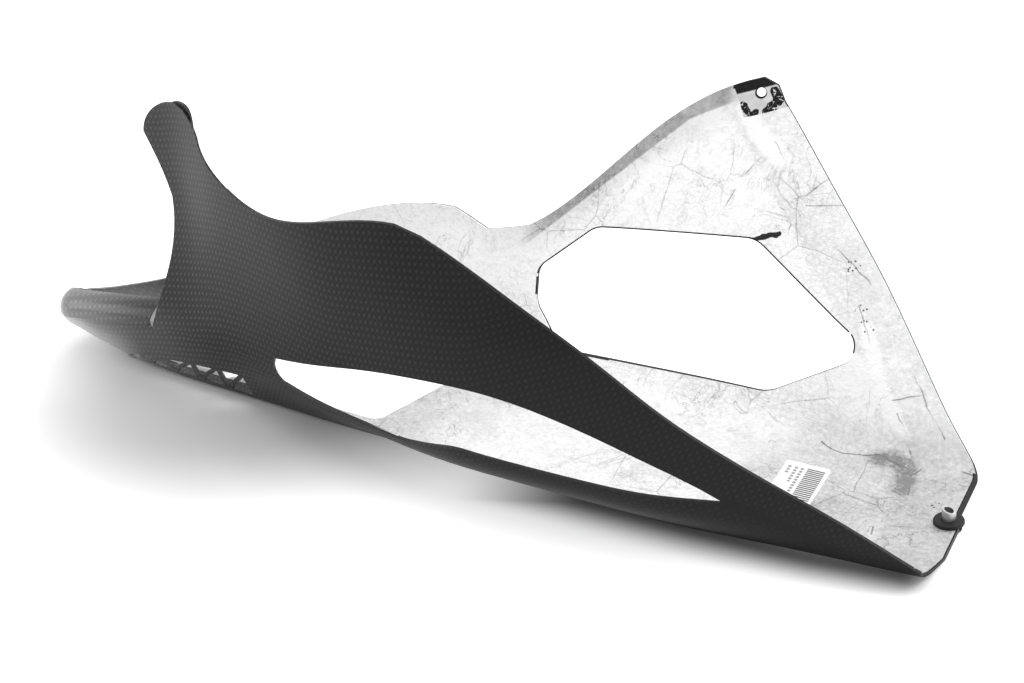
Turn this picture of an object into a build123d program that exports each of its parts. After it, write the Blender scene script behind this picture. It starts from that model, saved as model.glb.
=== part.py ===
from build123d import *
from math import cos, hypot, radians, sin, tan
import os

# All lengths are in millimetres and all angles in degrees.
# X runs along the pan: the open mouth is at +X and the closed nose at -X.
# Y runs across it: the tall slotted side is at -Y. Z is up from the surface it rests on.

# Driving sizes
wall = 1.8                # thickness of the moulded laminate
foil = 0.4                # thickness of the heat foil bonded inside
nose_x = -392.0           # rear end of the hull, before it is trimmed
mouth_x = 200.0           # front end of the hull, before it is trimmed
trim_top = 250.0          # height that clears every trimmed edge
middle_y = -14.0          # line that parts the near trimmings from the far ones
station_gap = 33.0        # spacing of the hull's sections
flat_cut = 0.4            # depth taken off under the floor to leave it truly flat

# Trimmed edge of the near side, as (x, z) seen from the side
slit = (-306.6, 34.6)     # bottom of the slit between the ear and the nose
slit_rear = ((-307.9, 37), (-302.0, 57.5))
ear_rear = ((-305.4, 37), (-298.5, 66), (-294.6, 104), (-295.8, 118))
ear_top = (
    (-312, 157), (-306.5, 170), (-296, 178.2), (-283, 182), (-272.5, 181.3), (-265, 175.5), (-261, 168.5),
)
ear_front = ((-258.5, 161), (-245, 150.4), (-228, 144.5), (-204, 143), (-159, 154), (-112, 163.5))
near_free_edge = ((-96, 160), (-34, 135), (20, 107), (98, 54), (152, 27), (186, 5))

# Trimmed edge of the far side, as (x, z) seen from the side
far_nose_edge = ((-392, 27), (-374, 27), (-339, 32), (-290, 53), (-255, 69.5), (-226, 80.3), (-165, 87))
far_notch = ((-143, 76.5), (-116, 83))
far_top_edge = ((-108, 88), (-71, 122.5), (-30, 161), (2, 176.7))
far_corner = ((9, 178.5), (18, 174.5))
mouth_edge = ((24, 166), (190, -4))

# Front lip, as (x, y) seen from above
lip_far = (179.0, 54.0)
lip_tip = (190.5, -9.0)
lip_near = (180.0, -67.0)

# Openings, as corner points with the radius of each corner
far_window = (
    (-107, 58, 9), (-104, 38, 16), (-83, 17, 12), (52, 18.5, 25), (108, 49.5, 10), (25, 95, 20),
    (-76, 84.5, 14),
)
slot_rear = ((-205, 38, 9), (-104, 39.5, 30), (-68, 48.5, 40))
slot_top = ((-201, 53.5), (-144, 72.2), (-88, 84.7), (-51, 86.4), (-6, 78.5), (42, 61.2), (76.5, 41.5))
slot_tip_depth = 1.5      # how far the slot's lower edge lies under the end of its top edge
floor_cut_z = 20.0        # height that the floor's opening is cut up to
floor_opening = ((-156, -46, 8), (-130, 38, 8), (-230, 30, 20), (-330, 2, 10), (-338, -36, 10))

# Truss vents low on the near flank
vent_rear, vent_front = -340.0, -233.0
vent_floor_z = 4.5
vent_rear_z, vent_front_z = 9.0, 23.7
vent_bays = 5
vent_rib = 3.0
vent_apex = 0.8           # place of each upper corner along its bay

# Nose: the near edge rolls inward in an open bead
nose_near_y = -57.0
nose_far_y = -12.0        # the nose is rounded off on the near side of this line
nose_end_x = -382.0
nose_radius = 16.0
nose_reach = 64.0         # how far over to the far side the nose's face runs
bead_front_x = -311.0
bead_radius = 12.0
bead_edge = 14.0          # how far inboard the rolled edge reaches
bead_slope = 7.0
bead_height = 37.3        # height of the bead's foot at its front end
bead_end = (-375.6, -40.0, 40.6)  # the bead's far end is cut off aslant through this point
bead_end_upright = (-0.122, 0.553, 1.0)
bead_reach = 30.0         # how far the nose's face runs on past the bead
bead_overlap = 1.0

# Fixings
corner_hole = (9.0, 170.0)    # place of the top hole, as (x, z)
corner_hole_radius = 2.75
doubler = 1.6                 # thickness of the leaf behind the ear
doubler_top = ((-267.5, 166), (-266.3, 177), (-269, 183.4), (-277, 184.4), (-287, 181), (-299, 170))
doubler_foot = ((-297, 152), (-273, 152))
stud_inset = 10.5         # how far the stud lies behind the tip of the lip
stud_x, stud_y = lip_tip[0] - stud_inset, -11.0
sleeve_radius, sleeve_bore = 3.9, 2.6
sleeve_height = 9.5
grommet_radius = 8.6
grommet_neck = 5.6
grommet_flange = 2.2
grommet_under = 1.0
grommet_foot = 7.2
grommet_soft = 1.0
sleeve_slant = 20.0
seat_gap = 0.15
drill_depth = 12.0

# Heat foil and label
seam_z = 12.0             # height of the seam round the floor sheet
strip_seam = 146.0        # the front strip lies where x + z is more than this
bare_vents = ((-350, -20), (-350, 28), (-222, 28), (-222, -20))
bare_vents_y = -38.0
bare_ear = ((-330, 128), (-236, 128), (-236, 220), (-330, 220))
bare_corner = ((-6, 172), (2, 156), (14, 160), (26, 164), (26, 190), (-6, 190))
label_size = (26.5, 40.0)
label_thickness = 0.2
label_place = (92.0, -4.5)
label_turn = -1.0
label_corner = 2.0

# Rails of the hull: each gives a value along X, as the lines plan of a boat does
near_keel_y = ((-386, -36), (-330, -46), (-200, -56), (-80, -61), (30, -71), (150, -65), (196, -66))
near_chine_y = (
    (-386, -56.6), (-311, -57.2), (-250, -66), (-150, -104), (-60, -121), (20, -116), (110, -88), (196, -74),
)
near_chine_z = ((-386, 33), (-310, 35), (-250, 36), (-150, 38), (-60, 37), (20, 33), (110, 19), (196, 11))
near_bend_y = (
    (-386, -38), (-300, -34), (-250, -59), (-150, -105), (-60, -121), (20, -114), (110, -86), (196, -76),
)
near_lean = ((-386, -5), (-250, -4), (-150, 7), (-60, 21), (20, 21), (110, 8), (196, 0))
far_keel_y = ((-386, -18), (-340, 6), (-250, 36), (-150, 49), (-30, 51), (100, 46), (150, 43), (196, 46))
far_lean = ((-386, 5), (-300, 12), (-150, 24), (-60, 29), (100, 29), (196, 34))
far_fold_z = (
    (-386, 28), (-300, 38), (-246, 63), (-187, 76), (-160, 77), (-138, 67), (-115, 72),
    (-70, 109), (-38, 138), (5, 150), (130, 28), (196, 28),
)
far_fold_lean = ((-386, 0), (-250, -4), (-60, -6), (-25, -2), (25, 39), (196, 39))
keel_rise = ((-386, 13), (-340, 4), (-280, 0), (148, 0), (196, 4))
near_bend_z = 106.0       # height of the upper bend of the near side

# Softness: how far before and after each corner of a section its curve starts
bend_soft = 34.0
chine_soft = 16.0
keel_soft = 7.0
far_keel_soft = ((-386, 10), (-250, 24), (-60, 40), (60, 26), (120, 13), (196, 12))
far_fold_soft = 7.0


def rail(knots, x):
    """Value of a rail at x, on a smooth curve through its knots that never overshoots."""
    if x <= knots[0][0]:
        return knots[0][1]
    if x >= knots[-1][0]:
        return knots[-1][1]
    last = len(knots) - 2
    i = max(k for k in range(last + 1) if knots[k][0] <= x)
    slopes = [(b[1] - a[1]) / (b[0] - a[0]) for a, b in zip(knots, knots[1:])]

    def tangent(k):
        before, after = slopes[max(k - 1, 0)], slopes[min(k, last)]
        return 2 * before * after / (before + after) if before * after > 0 else 0.0

    (x0, v0), (x1, v1) = knots[i], knots[i + 1]
    span = x1 - x0
    t = (x - x0) / span
    ends = v0 * (1 + 2 * t) * (1 - t) ** 2 + v1 * t * t * (3 - 2 * t)
    return ends + span * t * (1 - t) * (tangent(i) * (1 - t) - tangent(i + 1) * t)


def corners(x):
    """Corners (y, z) of the outer section at x, from the near top round the floor to the far top."""
    low = rail(keel_rise, x) - flat_cut
    bend_y = rail(near_bend_y, x)
    near_top = bend_y + (trim_top - near_bend_z) * tan(radians(rail(near_lean, x)))
    keel_y = rail(far_keel_y, x)
    fold_z = rail(far_fold_z, x)
    fold_y = keel_y + (fold_z - low) * tan(radians(rail(far_lean, x)))
    far_top = fold_y + (trim_top - fold_z) * tan(radians(rail(far_fold_lean, x)))
    return [
        (near_top, trim_top),
        (bend_y, near_bend_z),
        (rail(near_chine_y, x), rail(near_chine_z, x)),
        (rail(near_keel_y, x), low),
        (keel_y, low),
        (fold_y, fold_z),
        (far_top, trim_top),
    ]


def softness(x):
    """Softness of the five inner corners of the section at x."""
    return [bend_soft, chine_soft, keel_soft, rail(far_keel_soft, x), far_fold_soft]


# End of lines plan


def inset_corners(points, inset):
    """The corners moved into the pan, so that every side of the section lies inset deep."""
    normals = []
    for (ya, za), (yb, zb) in zip(points, points[1:]):
        length = hypot(yb - ya, zb - za)
        normals.append((-(zb - za) / length, (yb - ya) / length))
    sides = [normals[0]] + normals + [normals[-1]]
    moved = []
    for (y, z), before, after in zip(points, sides, sides[1:]):
        share = inset / (1 + before[0] * after[0] + before[1] * after[1])
        moved.append((y + (before[0] + after[0]) * share, z + (before[1] + after[1]) * share))
    return moved


def side_plane(y):
    """Plane seen from the near side, with x to the right and z up."""
    return Plane(origin=(0, y, 0), x_dir=(1, 0, 0), z_dir=(0, -1, 0))


def bead_foot_z(x):
    """Height at which the bead starts on the near side at x."""
    return bead_height + (x - bead_front_x) * tan(radians(bead_slope))


def near_kept():
    """Face of everything kept of the near side, seen from the side."""
    rear_x, front_x = nose_x - 40, mouth_x + 40
    nose_foot_z = bead_foot_z(nose_x)
    slit_foot = (slit_rear[0][0], bead_foot_z(slit_rear[0][0]))
    with BuildSketch() as outline:
        with BuildLine():
            Polyline((front_x, -trim_top), (rear_x, -trim_top), (rear_x, nose_foot_z), (nose_x, nose_foot_z))
            Line((nose_x, nose_foot_z), slit_foot)
            ThreePointArc(slit_foot, slit, ear_rear[0])
            Spline(*ear_rear)
            Line(ear_rear[-1], ear_top[0])
            Spline(*ear_top)
            Spline(ear_top[-1], *ear_front)
            Line(ear_front[-1], near_free_edge[0])
            Spline(*near_free_edge)
            Line(near_free_edge[-1], (front_x, -trim_top))
        make_face()
    return outline.sketch


def far_kept():
    """Face of everything kept of the far side, seen from the side."""
    rear_x, front_x = nose_x - 40, mouth_x + 40
    nose_foot_z = far_nose_edge[0][1]
    with BuildSketch() as outline:
        with BuildLine():
            Polyline((front_x, -trim_top), (rear_x, -trim_top), (rear_x, nose_foot_z), far_nose_edge[0])
            Spline(*far_nose_edge)
            Polyline(far_nose_edge[-1], *far_notch, far_top_edge[0])
            Spline(*far_top_edge)
            Polyline(far_top_edge[-1], *far_corner, *mouth_edge, (front_x, -trim_top))
        make_face()
    return outline.sketch


def lip_kept():
    """Face of everything kept of the floor, seen from above."""
    with BuildSketch() as outline:
        with BuildLine():
            ThreePointArc(lip_far, lip_tip, lip_near)
            Polyline(lip_near, (lip_near[0], -trim_top), (nose_x - 40, -trim_top))
            Polyline((nose_x - 40, -trim_top), (nose_x - 40, trim_top), (lip_far[0], trim_top), lip_far)
        make_face()
    return outline.sketch


def window_face():
    """Face of the six-sided window in the far side."""
    with BuildSketch() as outline:
        with BuildLine():
            Polyline([(x, z) for x, z, radius in far_window], close=True)
        make_face()
        for x, z, radius in far_window:
            fillet(outline.vertices().sort_by_distance((x, z, 0))[0], radius)
    return outline.sketch


def slot_face():
    """Face of the long slot in the near side, tapering to a point at the front."""
    tip = slot_top[-1]
    low_tip = (tip[0], tip[1] - slot_tip_depth)
    with BuildSketch() as outline:
        with BuildLine():
            Polyline(low_tip, *[(x, z) for x, z, radius in reversed(slot_rear)], slot_top[0])
            Spline(*slot_top)
            Line(tip, low_tip)
        make_face()
        for x, z, radius in slot_rear:
            fillet(outline.vertices().sort_by_distance((x, z, 0))[0], radius)
    return outline.sketch


def floor_face():
    """Face of the opening in the rear of the floor, seen from above."""
    with BuildSketch() as outline:
        with BuildLine():
            Polyline([(x, y) for x, y, radius in floor_opening], close=True)
        make_face()
        for x, y, radius in floor_opening:
            fillet(outline.vertices().sort_by_distance((x, y, 0))[0], radius)
    return outline.sketch


def shrunk(triangle, margin):
    """Triangle with every side moved inward by margin."""
    a, b, c = [Vector(*point) for point in triangle]
    la, lb, lc = (b - c).length, (c - a).length, (a - b).length
    around = la + lb + lc
    centre = (a * la + b * lb + c * lc) * (1 / around)
    inradius = (b - a).cross(c - a).length / around
    return [centre + (corner - centre) * (1 - margin / inradius) for corner in (a, b, c)]


def vent_faces():
    """Faces of the truss vents: triangles that point up and down by turns."""
    pitch = (vent_front - vent_rear) / vent_bays

    def apex(bay):
        share = (bay + vent_apex) / vent_bays
        return (vent_rear + pitch * (bay + vent_apex), vent_rear_z + (vent_front_z - vent_rear_z) * share)

    triangles = []
    for bay in range(vent_bays):
        rear, front = vent_rear + pitch * bay, vent_rear + pitch * (bay + 1)
        triangles.append(((rear, vent_floor_z), (front, vent_floor_z), apex(bay)))
        if bay + 1 < vent_bays:
            triangles.append((apex(bay), (front, vent_floor_z), apex(bay + 1)))
    with BuildSketch() as vents:
        for triangle in triangles:
            with BuildLine():
                Polyline(*shrunk(triangle, vent_rib / 2), close=True)
            make_face()
    return vents.sketch


def nose_face(inset):
    """Face inside the nose's outer line, seen along the upright of the bead."""
    near_y, end_x = nose_near_y + inset, nose_end_x - bead_front_x + inset
    with BuildSketch() as outline:
        with BuildLine():
            Polyline((bead_reach, near_y), (end_x, near_y), (end_x, nose_reach))
            Polyline((end_x, nose_reach), (bead_reach, nose_reach), (bead_reach, near_y))
        make_face()
        fillet(outline.vertices().sort_by_distance((end_x, near_y, 0))[0], nose_radius - inset)
    return outline.sketch


nose_plane = Plane(
    origin=(bead_front_x, 0, bead_height),
    x_dir=(cos(radians(bead_slope)), 0, sin(radians(bead_slope))),
    z_dir=(-sin(radians(bead_slope)), 0, cos(radians(bead_slope))),
)


def section(x, inset):
    """Closed section of the hull at x: straight sides joined by soft corners."""
    points = [Vector(y, z) for y, z in inset_corners(corners(x), inset)]
    with BuildSketch(Plane(origin=(x, 0, 0), x_dir=(0, 1, 0), z_dir=(1, 0, 0))) as profile:
        with BuildLine():
            start = points[0]
            for before, corner, after, soft in zip(points, points[1:], points[2:], softness(x)):
                back, ahead = before - corner, after - corner
                entry = corner + back.normalized() * min(soft, 0.45 * back.length)
                leave = corner + ahead.normalized() * min(soft, 0.45 * ahead.length)
                Line(start, entry)
                Bezier(entry, corner, leave)
                start = leave
            Line(start, points[-1])
            Line(points[-1], points[0])
        make_face()
    return profile.sketch


def stations():
    """Places of the sections along the hull."""
    count = round((mouth_x - nose_x) / station_gap)
    return [nose_x + (mouth_x - nose_x) * k / count for k in range(count + 1)]


def hull(inset):
    """Solid that fills the hull up to inset from its outer surface, with a flat floor and a round nose."""
    with BuildPart() as body:
        loft(sections=[section(x, inset) for x in stations()])
        with BuildSketch(Plane.XY.offset(inset)):
            Rectangle(8 * trim_top, 4 * trim_top)
        extrude(amount=-trim_top, mode=Mode.SUBTRACT)
        with BuildSketch(nose_plane):
            with Locations((-trim_top / 2, nose_far_y - trim_top / 2)):
                Rectangle(trim_top, trim_top)
            add(nose_face(inset), mode=Mode.SUBTRACT)
        extrude(amount=trim_top, both=True, mode=Mode.SUBTRACT)
    return body.part


def prism(face, plane, amount):
    """Solid of a face drawn on a plane."""
    with BuildPart() as body:
        with BuildSketch(plane):
            add(face)
        extrude(amount=amount)
    return body.part


def side_waste(kept, y_from, y_to):
    """Solid of all that a side's trimming takes away, between two places across the pan."""
    with BuildSketch() as outline:
        Rectangle(8 * trim_top, 8 * trim_top)
        add(kept, mode=Mode.SUBTRACT)
    return prism(outline.sketch, side_plane(y_to), y_to - y_from)


def lip_waste():
    """Solid of all that the trimming of the lip takes away."""
    with BuildSketch() as outline:
        Rectangle(8 * trim_top, 4 * trim_top)
        add(lip_kept(), mode=Mode.SUBTRACT)
    return prism(outline.sketch, Plane.XY.offset(-trim_top), 3 * trim_top)


def cutters():
    """All solids taken out of the hull's skin and of the foil on it."""
    clear = 2 * trim_top
    return [
        side_waste(near_kept(), -clear, middle_y),
        side_waste(far_kept(), middle_y, clear),
        lip_waste(),
        prism(window_face(), side_plane(clear), clear - middle_y),
        prism(slot_face(), side_plane(middle_y), middle_y + clear),
        prism(vent_faces(), side_plane(middle_y), middle_y + clear),
        prism(floor_face(), Plane.XY.offset(-trim_top), trim_top + floor_cut_z),
    ]


def corner_hole_plane(body):
    """Plane on the far side, square to it, at the top hole."""
    x, z = corner_hole
    point, normal = body.find_intersection_points(Axis((x, -trim_top, z), (0, 1, 0)))[-1]
    return Plane(origin=point, z_dir=-normal)


def stud_plane(body):
    """Plane on the underside of the lip, square to it, at the stud."""
    upright = Axis((stud_x, stud_y, -trim_top), (0, 0, 1))
    point, normal = body.find_intersection_points(upright)[0]
    return Plane(origin=point, x_dir=(1, 0, 0), z_dir=-normal)


def drill(plane, radius, depth):
    """Round bar along a plane's upright, standing out as far on both sides."""
    with BuildPart() as bar:
        with BuildSketch(plane):
            Circle(radius)
        extrude(amount=depth, both=True)
    return bar.part


def bead_block(inset):
    """Solid nose block with a round top edge."""
    with BuildPart() as block:
        with BuildSketch(nose_plane.offset(-bead_overlap)):
            add(nose_face(inset))
        extrude(amount=bead_overlap + bead_radius - inset)
        top = block.faces().sort_by(Axis(nose_plane.origin, nose_plane.z_dir))[-1]
        fillet(top.edges(), bead_radius - inset - 0.2)
    return block.part


def bead():
    """Rolled edge of the nose: a quarter tube with its inner edge left free, and both its ends cut aslant."""
    clear = 2 * trim_top
    with BuildPart() as roll:
        add(bead_block(0))
        add(bead_block(wall), mode=Mode.SUBTRACT)
        with BuildSketch(nose_plane.offset(-bead_radius)):
            add(nose_face(bead_edge))
        extrude(amount=3 * bead_radius, mode=Mode.SUBTRACT)
        with BuildSketch(Plane(origin=bead_end, z_dir=bead_end_upright)):
            Rectangle(clear, clear)
        extrude(amount=trim_top, mode=Mode.SUBTRACT)
        low, high = slit_rear
        foot_z = low[1] - bead_radius
        ahead = (low, high, (mouth_x, high[1]), (mouth_x, foot_z), (low[0], foot_z))
        add(side_block(ahead, -clear, clear), mode=Mode.SUBTRACT)
    return roll.part


def side_block(points, y_from, y_to):
    """Block with a side outline, between two places across the pan."""
    with BuildSketch() as outline:
        with BuildLine():
            Polyline(*points, close=True)
        make_face()
    return prism(outline.sketch, side_plane(y_to), y_to - y_from)


hull_outside = hull(0)
hull_inside = hull(wall)
hull_lined = hull(wall + foil)
taken = cutters()
hole_plane = corner_hole_plane(hull_outside)
stud = stud_plane(hull_outside)
os.makedirs("parts", exist_ok=True)

# The moulded shell: hull skin, trimmed edges, openings, nose bead and drilled fixings
with BuildPart() as carbon_shell:
    add(hull_outside)
    add(hull_inside, mode=Mode.SUBTRACT)
    for tool in taken:
        add(tool, mode=Mode.SUBTRACT)
    add(bead())
    add(drill(hole_plane, corner_hole_radius, drill_depth), mode=Mode.SUBTRACT)
    add(drill(stud, grommet_neck + seat_gap, drill_depth), mode=Mode.SUBTRACT)
carbon_shell.part.label = "carbon_shell"
export_step(carbon_shell.part, "parts/carbon_shell.step")

# Leaf bonded behind the ear, standing out a little past its edge
with BuildPart() as ear_doubler:
    add(hull_inside)
    add(hull(wall + doubler), mode=Mode.SUBTRACT)
    with BuildSketch(side_plane(middle_y)):
        with BuildLine():
            Spline(*doubler_top)
            Polyline(doubler_top[-1], *doubler_foot, doubler_top[0])
        make_face()
    extrude(amount=middle_y + 2 * trim_top, mode=Mode.INTERSECT)
ear_doubler.part.label = "ear_doubler"
export_step(ear_doubler.part, "parts/ear_doubler.step")

# Heat foil: one skin inside the shell, cut into the four sheets that it is laid in
with BuildPart() as skin:
    add(hull_inside)
    add(hull_lined, mode=Mode.SUBTRACT)
    for tool in taken:
        add(tool, mode=Mode.SUBTRACT)
    add(side_block(bare_vents, -2 * trim_top, bare_vents_y), mode=Mode.SUBTRACT)
    add(side_block(bare_ear, -2 * trim_top, middle_y), mode=Mode.SUBTRACT)
    add(side_block(bare_corner, middle_y, 2 * trim_top), mode=Mode.SUBTRACT)
    add(drill(stud, grommet_neck + seat_gap, drill_depth), mode=Mode.SUBTRACT)
far = 2 * trim_top
strip_line = ((strip_seam + far, -far), (strip_seam - far, far))
front = side_block((*strip_line, (far, far)), -far, far)
behind = (strip_line[0], (-far, -far), strip_line[1])
low_band = ((-far, -far), (far, -far), (far, seam_z), (-far, seam_z))
high_band = ((-far, seam_z), (far, seam_z), (far, far), (-far, far))
sheets = {
    "foil_strip": [front],
    "foil_floor": [side_block(behind, -far, far), side_block(low_band, -far, far)],
    "foil_near": [side_block(behind, -far, far), side_block(high_band, -far, middle_y)],
    "foil_far": [side_block(behind, -far, far), side_block(high_band, middle_y, far)],
}
for name, blocks in sheets.items():
    with BuildPart() as piece:
        add(skin.part)
        for block in blocks:
            add(block, mode=Mode.INTERSECT)
    piece.part.label = name
    export_step(piece.part, f"parts/{name}.step")

# Rubber grommet in the lip: a neck through the shell between two flanges
lining = wall + foil
with BuildPart() as lip_grommet:
    with BuildSketch(stud):
        Circle(grommet_neck)
    extrude(amount=lining + seat_gap)
    with BuildSketch(stud.offset(lining + seat_gap)):
        Circle(grommet_radius)
    extrude(amount=grommet_flange)
    fillet(faces().sort_by(Axis(stud.origin, stud.z_dir))[-1].edges(), grommet_soft)
    with BuildSketch(stud.offset(-seat_gap)):
        Circle(grommet_foot)
    extrude(amount=-grommet_under)
    with BuildSketch(stud):
        Circle(grommet_neck)
    extrude(amount=-seat_gap)
    add(drill(stud, sleeve_radius + seat_gap, drill_depth), mode=Mode.SUBTRACT)
lip_grommet.part.label = "lip_grommet"
export_step(lip_grommet.part, "parts/lip_grommet.step")

# Metal sleeve in the grommet, cut off aslant at its top
with BuildPart() as lip_sleeve:
    with BuildSketch(stud.offset(-seat_gap - grommet_under)):
        Circle(sleeve_radius)
        Circle(sleeve_bore, mode=Mode.SUBTRACT)
    extrude(amount=seat_gap + grommet_under + lining + sleeve_height)
    top = stud.offset(lining + sleeve_height).rotated((0, sleeve_slant, 0))
    with BuildSketch(top.offset(-sleeve_radius * sin(radians(sleeve_slant)))):
        Circle(4 * sleeve_radius)
    extrude(amount=sleeve_height, mode=Mode.SUBTRACT)
lip_sleeve.part.label = "lip_sleeve"
export_step(lip_sleeve.part, "parts/lip_sleeve.step")

# Sticker on the foil of the floor
with BuildPart() as stock_label:
    with BuildSketch(Plane.XY.offset(lining)):
        with Locations(Location((*label_place, 0), (0, 0, label_turn))):
            RectangleRounded(*label_size, label_corner)
    extrude(amount=label_thickness)
stock_label.part.label = "stock_label"
export_step(stock_label.part, "parts/stock_label.step")
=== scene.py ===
# %% [markdown]
# # Motorcycle belly pan
# The pan is a moulded carbon shell that hangs under an engine. It is lined with bright heat foil, and here
# it lies on its flat floor. The solids come from the packed part, and this script dresses them. They could
# be unwrapped and painted with images. Here each pattern is worked out from its place on the pan instead,
# so that it stays sharp from near by and follows the shape.

# %% Load the part
import bmesh
import bpy
import math
import numpy as np
from mathutils import Matrix, Vector


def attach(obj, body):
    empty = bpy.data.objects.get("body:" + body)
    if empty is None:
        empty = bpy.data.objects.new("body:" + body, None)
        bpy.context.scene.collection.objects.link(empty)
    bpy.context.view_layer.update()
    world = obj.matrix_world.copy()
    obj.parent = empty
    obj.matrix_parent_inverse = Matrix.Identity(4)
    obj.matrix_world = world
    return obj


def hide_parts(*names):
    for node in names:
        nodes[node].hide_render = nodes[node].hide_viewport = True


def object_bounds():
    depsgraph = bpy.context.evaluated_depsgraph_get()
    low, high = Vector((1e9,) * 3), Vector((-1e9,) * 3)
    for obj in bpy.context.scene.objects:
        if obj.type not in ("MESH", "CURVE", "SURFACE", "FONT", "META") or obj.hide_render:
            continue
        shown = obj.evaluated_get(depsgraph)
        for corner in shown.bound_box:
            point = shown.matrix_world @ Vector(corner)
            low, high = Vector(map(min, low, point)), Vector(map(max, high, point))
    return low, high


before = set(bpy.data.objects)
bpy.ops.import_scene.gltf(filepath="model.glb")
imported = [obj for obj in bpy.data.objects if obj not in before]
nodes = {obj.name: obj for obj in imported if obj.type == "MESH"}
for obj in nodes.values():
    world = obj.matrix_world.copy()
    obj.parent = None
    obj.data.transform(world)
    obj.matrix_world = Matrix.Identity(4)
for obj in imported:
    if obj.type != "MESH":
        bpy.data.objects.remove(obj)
cad_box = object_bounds()
print("nodes", sorted(nodes), "box", [tuple(round(v, 4) for v in corner) for corner in cad_box])

# %% [markdown]
# ## Camera
# The photograph looks down on the pan from its front near corner. A camera could be turned by eye until the
# outline fits. This one was worked out: the straight keel and the corners of the sticker give the turn of
# 25 degrees and the height of 29 degrees, and the lens follows from how the pan narrows.

# %% Camera
FRAME_WIDTH = 1024
FOCAL_PIXELS = 2000.0
CAMERA_PLACE = Vector((0.3472, -0.9353, 0.6206))
TURN, HEIGHT = math.radians(25), math.radians(29)

right = Vector((math.cos(TURN), math.sin(TURN), 0))
back = Vector((math.sin(TURN) * math.cos(HEIGHT), -math.cos(TURN) * math.cos(HEIGHT), math.sin(HEIGHT)))
up = back.cross(right)
camera = bpy.data.objects.new("camera", bpy.data.cameras.new("camera"))
camera.data.lens = FOCAL_PIXELS / FRAME_WIDTH * camera.data.sensor_width
camera.matrix_world = Matrix.Translation(CAMERA_PLACE) @ Matrix((right, up, back)).transposed().to_4x4()
bpy.context.scene.collection.objects.link(camera)
bpy.context.scene.camera = camera
bpy.context.scene.view_settings.view_transform = "Standard"
print("lens", round(camera.data.lens, 1), "mm")

# %% [markdown]
# ## Shader sums
# A weave or a net of creases is a sum, and a sum is hard to read as nodes that are wired by hand. A field
# wraps one output of a node and takes part in Python's own sums, so that `1 - mask` adds its Math node.
# Colours and vectors go through Mix and Vector Math, because a Math node turns a colour grey.

# %% Nodes and fields
def put(tree, place, item):
    """Gives an input a field or a plain value."""
    if isinstance(item, Field):
        tree.links.new(item.output, place)
    else:
        place.default_value = item


def add_node(tree, kind, settings=(), inputs=()):
    """Adds a node: its settings first, then the values or links of its inputs."""
    node = tree.nodes.new(kind)
    for name, value in dict(settings).items():
        setattr(node, name, value)
    for name, item in dict(inputs).items():
        put(tree, node.inputs[name], item)
    return node


class Field:
    """One output of a node, which takes part in sums as a number does."""

    def __init__(self, tree, output):
        self.tree, self.output = tree, output

    def through(self, kind, settings, others, output=0):
        """This field, and others after it, sent through a new node."""
        node = add_node(self.tree, kind, settings, enumerate((self, *others)))
        return Field(self.tree, node.outputs[output])

    def math(self, operation, *others):
        return self.through("ShaderNodeMath", {"operation": operation}, others)

    def vector_math(self, operation, *others, output=0):
        return self.through("ShaderNodeVectorMath", {"operation": operation}, others, output)

    def __add__(self, other):
        return self.math("ADD", other)

    def __sub__(self, other):
        return self.math("SUBTRACT", other)

    def __rsub__(self, other):
        return self * -1 + other

    def __mul__(self, other):
        return self.math("MULTIPLY", other)

    def __truediv__(self, other):
        return self.math("DIVIDE", other)

    def __pow__(self, other):
        return self.math("POWER", other)

    def __mod__(self, other):
        return self.math("FLOORED_MODULO", other)

    def __abs__(self):
        return self.math("ABSOLUTE")

    __radd__ = __add__
    __rmul__ = __mul__

    def floor(self):
        return self.math("FLOOR")

    def sine(self):
        return self.math("SINE")

    def least(self, other):
        return self.math("MINIMUM", other)

    def most(self, other):
        return self.math("MAXIMUM", other)

    def rise(self, low, high):
        """0 below low, 1 above high, and a soft step between them."""
        return self.through("ShaderNodeMapRange", {"interpolation_type": "SMOOTHSTEP"}, (low, high))

    def within(self, low, high, soft):
        """1 between low and high, and 0 outside them."""
        return self.rise(low - soft, low + soft) * (1 - self.rise(high - soft, high + soft))

    def spread(self):
        """The same number as each part of a vector."""
        return self.through("ShaderNodeCombineXYZ", (), (self, self))

    def shifted(self, other):
        """Sum of two vectors."""
        return self.vector_math("ADD", other)

    def scaled(self, factor):
        """Vector times a number."""
        return self.vector_math("MULTIPLY", (factor, factor, factor))

    def dot(self, other):
        return self.vector_math("DOT_PRODUCT", other, output=1)

    def length(self):
        return self.vector_math("LENGTH", output=1)

    def split(self):
        node = add_node(self.tree, "ShaderNodeSeparateXYZ", (), {0: self})
        return [Field(self.tree, output) for output in node.outputs]


print("a field can", sorted(name for name in vars(Field) if not name.startswith("_")))

# %% [markdown]
# ## Paints
# A paint is one material while it is being made. The numbers that are the same all over it are set on the
# shader's own sockets when it is made, and what changes over the surface is wired in afterwards.

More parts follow.
